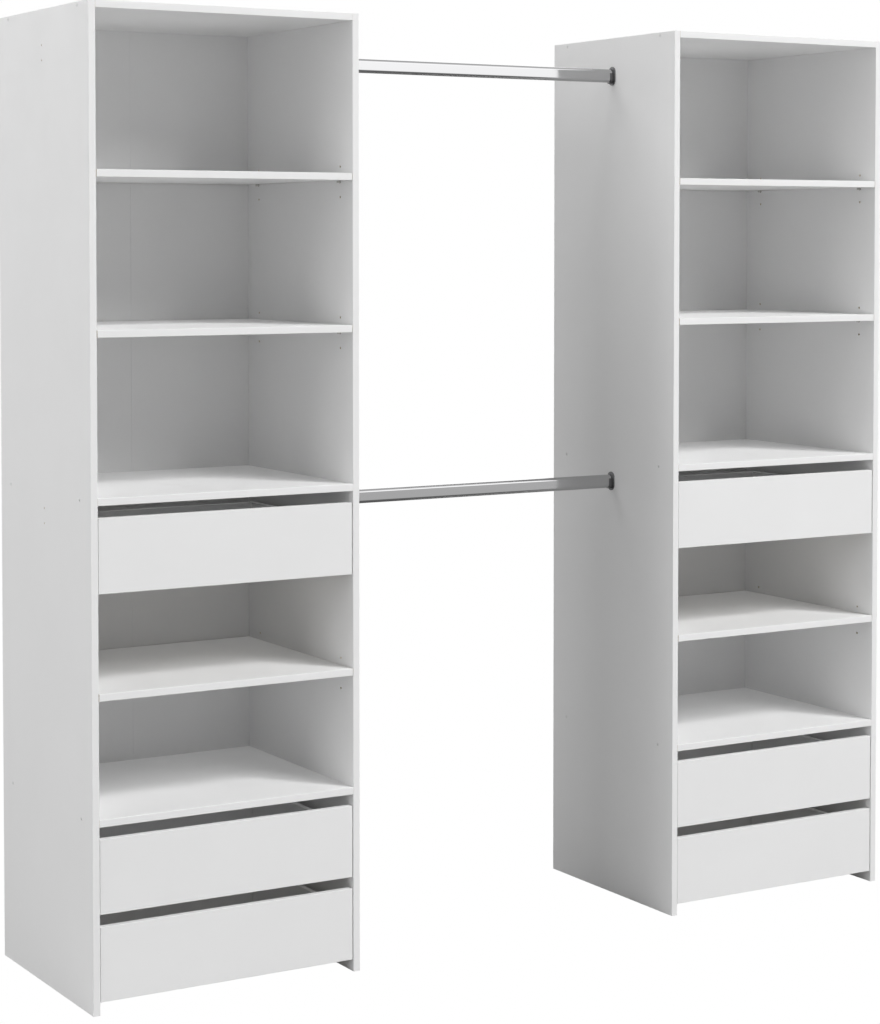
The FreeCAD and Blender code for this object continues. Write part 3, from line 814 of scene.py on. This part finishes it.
def smallScrewMesh(head):
    # along +Z from the surface at Z = 0: a pan head stands on it and a sunk head lies flush
    look = smallShape
    radius, thick = look["headRadius"], look["headThick"]
    if head == "pan":
        top, foot = -thick, 0
        angles = [math.pi / 2 * step / look["domeSteps"] for step in range(look["domeSteps"] + 1)]
        outline = [(radius * math.sin(angle), -thick * math.cos(angle)) for angle in angles]
    else:
        top, foot = 0, thick
        outline = [(0, 0), (radius, 0)]
    end = look["length"] - look["tip"] + foot
    outline.append((look["radius"], foot))
    outline += threadOutline(look, foot, end)
    outline += [(look["rootRadius"], end), (0, end + look["tip"])]
    return crossed(turnedMesh(outline, look["steps"]), top, look["cross"])


sunkScrew, panScrew = smallScrewMesh("sunk"), smallScrewMesh("pan")

# Drawers

drawerLook = {
    "grooveEase": 0.0002,
    "grooveDeep": 0.005,
    "camRadius": 0.006,
    "camThick": 0.009,
    "camSunk": 0.0002,
    "camGap": 0.00015,
    "camEase": 0.0003,
    "camInset": 0.024,  # from the drawer front
    "camRise": 0.022,  # from the bottom sheet and from the upper edge
    "camSlot": (0.0075, 0.0013, 0.0016),  # long, wide, deep
    "camTurn": math.radians(20),
    "camSteps": 32,
    "screwRises": (0.008, 0.077),  # above the back board's lower edge
    "screwReach": 0.022,
    "sinkRadius": 0.0037,
    "sinkDeep": 0.0021,
}


def funnelMesh(wide, deep, radius, depth, material=0):
    # a hole along +Z from a surface at Z = 0, with a funnel for a sunk head
    outline = [(0, -overrun), (wide + overrun, -overrun), (wide, 0), (radius, deep), (radius, depth),
               (0, depth)]
    return turnedMesh(outline, material=material)


def makeCam():
    look = drawerLook
    top, end = look["camSunk"], look["camSunk"] + look["camThick"]
    outline = [(0, top), (look["camRadius"], top), (look["camRadius"], end), (0, end)]
    return crossed(turnedMesh(outline, look["camSteps"], ease=look["camEase"]), top, look["camSlot"])


camMaster = makeCam()
camPocket = drillMesh(drawerLook["camRadius"] + drawerLook["camGap"],
                      drawerLook["camThick"] + drawerLook["camSunk"])
backBore = funnelMesh(drawerLook["sinkRadius"], drawerLook["sinkDeep"], holeLook["pilotRadius"],
                      drawerLook["screwReach"], coreSlot)


def makeDrawerFixings(body):
    # cams hold the sides to the front, and sunk screws hold them to the back board
    look = drawerLook
    low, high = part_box(f"{body}_sides")
    backLow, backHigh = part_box(f"{body}_back")
    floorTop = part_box(f"{body}_bottom")[1].z
    cams, screws, pockets, bores = bmesh.new(), bmesh.new(), bmesh.new(), bmesh.new()
    camRow, screwRow = low.y + look["camInset"], middle(f"{body}_back").y
    for level in (floorTop + look["camRise"], high.z - look["camRise"]):
        for group, master in ((cams, camMaster), (pockets, camPocket)):
            stampPair(group, master, backHigh.x, backLow.x, camRow, level, look["camTurn"])
    for rise in look["screwRises"]:
        for group, master in ((screws, sunkScrew), (bores, backBore)):
            stampPair(group, master, low.x, high.x, screwRow, backLow.z + rise)
    addPiece(f"{body}_cams", cams, (zincSteel,), "zinc_steel", body=body)
    addPiece(f"{body}_back_screws", screws, (nickel,), "zinc_steel", body=body)
    return toMesh(pockets), toMesh(bores)


def makeDrawer(tower, number):
    body = f"{tower}_drawer_{number}"
    pockets, bores = makeDrawerFixings(body)
    sheetLow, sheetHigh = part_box(f"{body}_bottom")
    ease = Vector((1, 1, 1)) * drawerLook["grooveEase"]
    groove = newBlock(sheetLow - ease, sheetHigh + ease + alongY * drawerLook["grooveDeep"])
    for face in groove.faces:
        face.material_index = coreSlot
    groove = toMesh(groove)
    front = boardMesh(*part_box(f"{body}_front"), ("left", "right", "bottom", "top"))
    addBoard(f"{body}_front", carved(front, groove), body)
    low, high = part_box(f"{body}_sides")
    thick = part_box(f"{body}_back")[0].x - low.x
    pair = bmesh.new()
    stamp(pair, boardMesh(low, Vector((low.x + thick, high.y, high.z)), ("top",)))
    stamp(pair, boardMesh(Vector((high.x - thick, low.y, low.z)), high, ("top",)))
    mesh = carved(pair, groove, pockets, bores)
    addPiece(f"{body}_side_boards", mesh, boardMaterials, "white_laminate", f"{body}_sides", body=body)
    back = boardMesh(*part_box(f"{body}_back"), ("top",))
    addBoard(f"{body}_back", carved(back, bores), body)
    mesh = sheetMesh(sheetLow, sheetHigh, "top", "bottom")
    addPiece(f"{body}_bottom_sheet", mesh, sheetMaterials, "white_hardboard", f"{body}_bottom", body=body)


for tower in towers:
    for number in numbers:
        makeDrawer(tower, number)
print("drawers made")

# Hanging rails and their flanges

railLook = {
    "wall": 0.0012,
    "endBreak": 0.0004,
    "breakSteps": 3,
    "steps": 96,
}


def makeRail(node):
    low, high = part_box(node)
    size = high - low
    bm = ovalBlock(size.y, size.z, low.x, high.x, railLook["steps"])
    bevelEdges(bm, sharpEdges(bm), railLook["endBreak"], railLook["breakSteps"])
    walls = 2 * railLook["wall"]
    hollow = ovalBlock(size.y - walls, size.z - walls, low.x - overrun, high.x + overrun, railLook["steps"])
    mesh = carved(bm, hollow)
    mesh.transform(Matrix.Translation((0, middle(node).y, middle(node).z)))
    addPiece(f"{node}_tube", mesh, (chrome,), "chrome_tube", node)


flangeLook = {
    "wide": 0.027,
    "tall": 0.046,
    "plate": 0.003,
    "plateRound": 0.0008,
    "cupWall": 0.0024,
    "cupGap": 0.00025,
    "cupReach": 0.011,
    "cupRise": 0.007,
    "slotWide": 0.008,
    "castRound": 0.0004,
    "roundSteps": 3,
    "screwPitch": 0.033,
    "screwRadius": 0.0018,
    "sinkRadius": 0.00355,
    "sinkDepth": 0.002,
    "steps": 48,
}


def flangeMesh():
    # the plate lies on the board at X = 0 and the cup reaches towards +X
    look = flangeLook
    end = look["cupReach"] + overrun
    railLow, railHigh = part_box("upper_rail")
    holeWide = railHigh.y - railLow.y + 2 * look["cupGap"]
    holeTall = railHigh.z - railLow.z + 2 * look["cupGap"]
    plate = ovalBlock(look["wide"], look["tall"], 0, look["plate"], look["steps"])
    rim = [edge for edge in sharpEdges(plate) if all(vert.co.x > look["plate"] / 2 for vert in edge.verts)]
    bevelEdges(plate, rim, look["plateRound"], look["roundSteps"])
    grow = 2 * look["cupWall"]
    cup = ovalBlock(holeWide + grow, holeTall + grow, look["plate"] / 2, look["cupReach"], look["steps"])
    lip = [edge for edge in sharpEdges(cup) if all(vert.co.x > look["plate"] for vert in edge.verts)]
    bevelEdges(cup, lip, look["castRound"], look["roundSteps"])
    pocket = ovalBlock(holeWide, holeTall, look["plate"], end, look["steps"])
    mouth = newBlock((look["plate"], -look["wide"], look["cupRise"]), (end, look["wide"], look["tall"]))
    slot = newBlock((look["plate"], -look["slotWide"] / 2, -look["tall"]), (end, look["slotWide"] / 2, 0))
    joined = carved(plate, carved(cup, pocket, mouth, slot), operation="UNION")
    sink = funnelMesh(look["sinkRadius"], look["sinkDepth"], look["screwRadius"], look["plate"] + overrun)
    holes = bmesh.new()
    for side in (-0.5, 0.5):
        stamp(holes, sink, pointing(-alongX, (look["plate"], 0, side * look["screwPitch"])))
    return carved(joined, holes)


def makeFlanges(rail):
    node = f"{rail}_flanges"
    low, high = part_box(node)
    y, z = middle(node).yz
    pair = bmesh.new()
    stampFacing(pair, flangeMesh(), (low.x, y, z), (high.x, y, z))
    addPiece(f"{node}_pair", pair, (castMetal,), "flange_metal", node)


for rail in rails:
    makeRail(rail)
    makeFlanges(rail)
print("rails made")

# Small parts. Each master is made once and stamped in its places

pinShape = {
    "radius": 0.0025,
    "shank": 0.009,  # inside the board
    "reach": 0.008,  # under the shelf
    "collarRadius": 0.004,
    "collarThick": 0.0008,
    "ease": 0.0003,
    "steps": 24,
}


def makePins():
    look = pinShape
    neck, end = look["shank"] + look["collarThick"], look["shank"] + look["reach"]
    outline = [(0, 0), (look["radius"], 0), (look["radius"], look["shank"]),
               (look["collarRadius"], look["shank"]), (look["collarRadius"], neck),
               (look["radius"], neck), (look["radius"], end), (0, end)]
    master = turnedMesh(outline, look["steps"], ease=look["ease"])
    group = bmesh.new()
    for tower in towers:
        low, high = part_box(f"{tower}_top")
        for shelf in numbers:
            for y in bothRows(low, high, holeLook["pinRow"]):
                left, right = low.x - look["shank"], high.x + look["shank"]
                stampPair(group, master, left, right, y, pinLevel(tower, shelf))
    addPiece("shelf_pin_group", group, (nickel,), "pin_steel", "shelf_pins")


jointShape = {
    "length": 0.045,
    "radius": 0.0025,
    "rootRadius": 0.0019,
    "headRadius": 0.004,
    "headThick": 0.003,
    "hexRadius": 0.0023,
    "hexDepth": 0.002,
    "plain": 0.016,  # smooth length under the head, in the side board
    "pitch": 0.003,
    "tip": 0.003,
    "ease": 0.0003,
    "steps": 24,
}


def makeJointScrews():
    look = jointShape
    end = look["length"] - look["tip"]
    outline = [(0, 0), (look["headRadius"], 0), (look["headRadius"], look["headThick"]),
               (look["radius"], look["headThick"]), (look["radius"], look["plain"])]
    outline += threadOutline(look, look["plain"], end)
    outline += [(look["rootRadius"], end), (look["radius"] / 2, look["length"]), (0, look["length"])]
    blank = turnedMesh(outline, look["steps"], material=1, ease=look["ease"])
    for face in blank.polygons:
        if face.center.z < look["headThick"] / 2:
            face.material_index = 0  # the head is lacquered and the shank is plated
    socket = bmesh.new()
    bmesh.ops.create_cone(socket, cap_ends=True, segments=6, radius1=look["hexRadius"],
                          radius2=look["hexRadius"], depth=2 * look["hexDepth"])
    master = carved(blank, socket)
    group = bmesh.new()
    for tower in towers:
        boxes = [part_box(f"{tower}_{side}_side") for side in ("outer", "inner")]
        left, right = min(low.x for low, high in boxes), max(high.x for low, high in boxes)
        for board in fixedBoards:
            for y in bothRows(*boxes[0], holeLook["jointRow"]):
                stampPair(group, master, left, right, y, middle(f"{tower}_{board}").z)
    addPiece("joint_screw_group", group, (lacquer, nickel), "zinc_steel", "joint_screws")


def makeFlangeScrews():
    group = bmesh.new()
    plate = flangeLook["plate"]
    for rail in rails:
        low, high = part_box(f"{rail}_flanges")
        for side in (-0.5, 0.5):
            level = middle(rail).z + side * flangeLook["screwPitch"]
            stampPair(group, sunkScrew, high.x - plate, low.x + plate, middle(rail).y, level)
    addPiece("flange_screw_group", group, (castMetal,), "flange_metal", "flange_screws")


bracketShape = {
    "inset": 0.150,  # from the tower's inner face
    "wide": 0.022,
    "leg": 0.036,
    "tall": 0.022,
    "thick": 0.002,
    "insideBend": 0.0015,
    "cornerRound": 0.003,
    "bendSteps": 6,
    "edgeBreak": 0.0002,
    "screwRows": (0.013, 0.025),  # from the wall
    "screwRadius": 0.0018,
    "wallHole": 0.00275,
    "wallHoleRise": 0.013,
    "screwTurn": 20,  # degrees
}


def holeMesh(radius, depth, steps=24):
    # a round hole through a sheet that lies between Z = 0 and the depth
    end = depth + overrun
    return turnedMesh([(0, -overrun), (radius, -overrun), (radius, end), (0, end)], steps)


def bracketMesh():
    # bent from one strip: the low leg runs towards -Y from the wall at Y = 0
    look = bracketShape
    thick, wide, leg, tall = look["thick"], look["wide"], look["leg"], look["tall"]
    bm = newBlock((-wide / 2, -leg, 0), (wide / 2, 0, thick))
    bmesh.ops.bisect_plane(bm, geom=allOf(bm), plane_co=(0, -thick, 0), plane_no=alongY, dist=cutReach)
    strip = [face for face in bm.faces if face.normal.z > 0.9 and face.calc_center_median().y > -thick]
    lifted = bmesh.ops.extrude_discrete_faces(bm, faces=strip)["faces"]
    raised = {vert for face in lifted for vert in face.verts}
    bmesh.ops.translate(bm, vec=alongZ * (tall - thick), verts=list(raised))
    tidied(bm)

    def lengthwise(y, z):
        spot = Vector((0, y, z))
        return [edge for edge in bm.edges
                if all((vert.co - spot).cross(alongX).length < nearBy for vert in edge.verts)]

    bevelEdges(bm, lengthwise(0, 0), look["insideBend"] + thick, look["bendSteps"])
    bevelEdges(bm, lengthwise(-thick, thick), look["insideBend"], look["bendSteps"])
    corners = [edge for edge in bm.edges if abs(edge.calc_length() - thick) < nearBy
               and (max(vert.co.y for vert in edge.verts) < -leg + thick
                    or min(vert.co.z for vert in edge.verts) > tall - thick)]
    bevelEdges(bm, corners, look["cornerRound"], look["bendSteps"])
    bevelEdges(bm, sharpEdges(bm), look["edgeBreak"], easeSteps)
    holes = bmesh.new()
    screwHole, wallHole = holeMesh(look["screwRadius"], thick), holeMesh(look["wallHole"], thick)
    for row in look["screwRows"]:
        stamp(holes, screwHole, Matrix.Translation((0, -row, 0)))
    stamp(holes, wallHole, pointing(-alongY, (0, 0, look["wallHoleRise"])))
    return carved(bm, holes)


def makeWallBrackets():
    look = bracketShape
    bracket, brackets, screws = bracketMesh(), bmesh.new(), bmesh.new()
    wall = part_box("wall_brackets")[1].y
    turn = math.radians(look["screwTurn"])
    for tower in towers:
        low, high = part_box(f"{tower}_top")
        offset = look["inset"] + look["wide"] / 2
        for x in (low.x + offset, high.x - offset):
            stamp(brackets, bracket, Matrix.Translation((x, wall, high.z)))
            for row in look["screwRows"]:
                place = (x, wall - row, high.z + look["thick"])
                stamp(screws, panScrew, pointing(-alongZ, place, turn))
    addPiece("wall_bracket_group", brackets, (zincSteel,), "zinc_steel", "wall_brackets")
    addPiece("bracket_screw_group", screws, (nickel,), "zinc_steel", "bracket_screws")


runnerShape = {
    "steel": 0.0012,
    "gap": 0.0004,  # between the fixed and the moving channel
    "railDepth": 0.011,
    "slideReach": 0.008,
    "insideBend": 0.0012,
    "bendSteps": 5,
    "edgeBreak": 0.00015,
    "holeSteps": 20,
    "screwRadius": 0.0018,
    "slotShort": 0.0045,
    "slotLong": 0.013,
    "slots": (0.072, 0.160, 0.280, 0.368),  # along the channel
    "holes": (0.115, 0.220, 0.325),
    "holeRadius": 0.0026,
    "slideInset": 0.025,  # from a moving channel's ends to its screws
}


def channelMesh(depth, length, tall, inset):
    # bent steel channel: its web lies at X = 0 and it opens towards +X
    look = runnerShape
    steel, bend, end = look["steel"], look["insideBend"], look["steel"] + overrun
    block = newBlock((0, 0, 0), (depth, length, tall))
    hollow = newBlock((steel, -overrun, steel), (depth + overrun, length + overrun, tall - steel))
    bm = bmesh.new()
    bm.from_mesh(carved(block, hollow))

    def folds(x):
        return [edge for edge in sharpEdges(bm) if edge.calc_length() > length / 2
                and all(abs(vert.co.x - x) < nearBy for vert in edge.verts)]

    bevelEdges(bm, folds(0), bend + steel, look["bendSteps"])
    bevelEdges(bm, folds(steel), bend, look["bendSteps"])
    bevelEdges(bm, sharpEdges(bm), look["edgeBreak"], 1)
    holes = bmesh.new()
    rounds = [(look["screwRadius"], y) for y in (inset, length - inset)]
    rounds += [(look["holeRadius"], y) for y in look["holes"]]
    for radius, y in rounds:
        stamp(holes, holeMesh(radius, steel, look["holeSteps"]), pointing(alongX, (0, y, tall / 2)))
    slot = toMesh(ovalBlock(look["slotShort"], look["slotLong"], -overrun, end, look["holeSteps"]))
    layDown = Matrix.Rotation(math.pi / 2, 4, "X")
    for y in look["slots"]:
        stamp(holes, slot, Matrix.Translation((0, y, tall / 2)) @ layDown)
    return carved(bm, holes)


def makeRunners():
    look = runnerShape
    slideLow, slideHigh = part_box("left_drawer_1_slides")
    length, slideTall = slideHigh.y - slideLow.y, slideHigh.z - slideLow.z
    steel = look["steel"]
    railTall = slideTall + 2 * (steel + look["gap"])
    rail = channelMesh(look["railDepth"], length, railTall, holeLook["runnerInset"])
    slide = channelMesh(look["slideReach"], length, slideTall, look["slideInset"])
    screws = bmesh.new()
    for tower in towers:
        channels = bmesh.new()
        left, right = (corner.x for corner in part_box(f"{tower}_top"))
        for number in numbers:
            body = f"{tower}_drawer_{number}"
            low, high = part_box(f"{body}_slides")
            centre = (low.z + high.z) / 2
            bottom = centre - railTall / 2
            stampFacing(channels, rail, (left, low.y, bottom), (right, high.y, bottom))
            pair, holders = bmesh.new(), bmesh.new()
            webs = (low.x + look["slideReach"], high.x - look["slideReach"])
            stampFacing(pair, slide, (webs[1], low.y, low.z), (webs[0], high.y, low.z))
            for y in bothRows(low, high, look["slideInset"]):
                stampPair(holders, panScrew, webs[0] - steel, webs[1] + steel, y, centre)
            addPiece(f"{body}_slide_channels", pair, (zincSteel,), "runner_steel",
                     f"{body}_slides", body=body)
            addPiece(f"{body}_slide_screws", holders, (nickel,), "zinc_steel", body=body)
            for y in bothRows(low, high, holeLook["runnerInset"]):
                stampPair(screws, panScrew, right - steel, left + steel, y, centre)
        node = f"{tower}_runner_rails"
        addPiece(f"{tower}_runner_channels", channels, (zincSteel,), "runner_steel", node)
    addPiece("runner_screw_group", screws, (nickel,), "zinc_steel", "runner_screws")


makePins()
makeJointScrews()
makeFlangeScrews()
makeWallBrackets()
makeRunners()
print("small parts made")

# Studio

studio = {
    "floorSize": 60.0,
    "floorTone": (0.42, 0.42, 0.42, 1.0),
    "floorWhite": (1.0, 1.0, 1.0, 1.0),
    "target": (0.0, 0.0, 1.05),
    "lampDistance": 20.0,
    "roomGain": 2.75,  # how much brighter the room is in reflections than its ramp
    # place from straight down to straight up, and tone there
    "roomTones": [(0.0, 0.05), (0.35, 0.10), (0.45, 0.28), (0.50, 0.45), (0.55, 0.75), (0.65, 0.78),
                  (0.8, 0.45), (1.0, 0.12)],
}
# azimuth is in degrees to the right of the front, and the shadowless fill stands for light off the room
softboxes = {
    "keyBox": {"azimuth": 25, "elevation": 35, "size": 7.0, "watts": 2130.0},
    "smallKeyBox": {"azimuth": 35, "elevation": 42, "size": 3.0, "watts": 1510.0},
    "leftBox": {"azimuth": -100, "elevation": 35, "size": 11.0, "watts": 1400.0},
    "lowLeftBox": {"azimuth": -80, "elevation": 10, "size": 7.0, "watts": 900.0},
    "backBox": {"azimuth": 165, "elevation": 12, "size": 7.0, "watts": 750.0},
    "topFill": {"azimuth": 0, "elevation": 85, "size": 7.0, "watts": 500.0, "shadows": False},
}


def addFloor():
    bm = bmesh.new()
    bmesh.ops.create_grid(bm, x_segments=1, y_segments=1, size=studio["floorSize"] / 2)
    floor = linked("paleFloor", toMesh(bm))
    material = bpy.data.materials.new("paleFloor")
    material.use_nodes = True
    tree = material.node_tree
    tree.nodes.clear()
    seen = addNode(tree, "Emission", {"Color": studio["floorWhite"]}).outputs[0]
    matt = addNode(tree, "BsdfDiffuse", {"Color": studio["floorTone"]}).outputs[0]
    share = addNode(tree, "LightPath").outputs["Is Camera Ray"]
    mixed = addNode(tree, "MixShader", {0: share, 1: matt, 2: seen}).outputs[0]
    addNode(tree, "OutputMaterial", {"Surface": mixed})
    floor.data.materials.append(material)
    floor.visible_glossy = False


def addSoftbox(name, azimuth, elevation, size, watts, shadows=True):
    data = bpy.data.lights.new(name, "AREA")
    data.shape, data.size, data.energy = "SQUARE", size, watts
    data.use_shadow = shadows
    lamp = linked(name, data)
    around, up = math.radians(azimuth), math.radians(elevation)
    out = Vector((math.sin(around) * math.cos(up), -math.cos(around) * math.cos(up), math.sin(up)))
    lamp.location = Vector(studio["target"]) + out * studio["lampDistance"]
    lamp.rotation_euler = out.to_track_quat("Z", "Y").to_euler()
    lamp.visible_glossy = False


def addSurround():
    # white behind the object, and a soft graded room for what shines
    world = bpy.data.worlds.new("studioSurround")
    world.use_nodes = True
    scene.world = world
    tree = world.node_tree
    tree.nodes.clear()
    ways = addNode(tree, "LightPath").outputs
    direction = addNode(tree, "TexCoord").outputs["Generated"]
    height = addNode(tree, "SeparateXYZ", {"Vector": direction}).outputs["Z"]
    share = stretched(tree, height, 0.0, 1.0, -1.0, 1.0)
    ramp = addNode(tree, "ValToRGB", {"Fac": share})
    while len(ramp.color_ramp.elements) < len(studio["roomTones"]):
        ramp.color_ramp.elements.new(1.0)
    for element, (position, tone) in zip(ramp.color_ramp.elements, studio["roomTones"]):
        element.position, element.color = position, (tone, tone, tone, 1.0)
    gain = combined(tree, "MULTIPLY", ways["Is Glossy Ray"], studio["roomGain"])
    room = scaledTone(tree, ramp.outputs["Color"], gain)
    light = blended(tree, ways["Is Camera Ray"], room, studio["floorWhite"])
    back = addNode(tree, "Background", {"Color": light}).outputs[0]
    addNode(tree, "OutputWorld", {"Surface": back})


addFloor()
addSurround()
for name, values in softboxes.items():
    addSoftbox(name, **values)
print("studio lit")
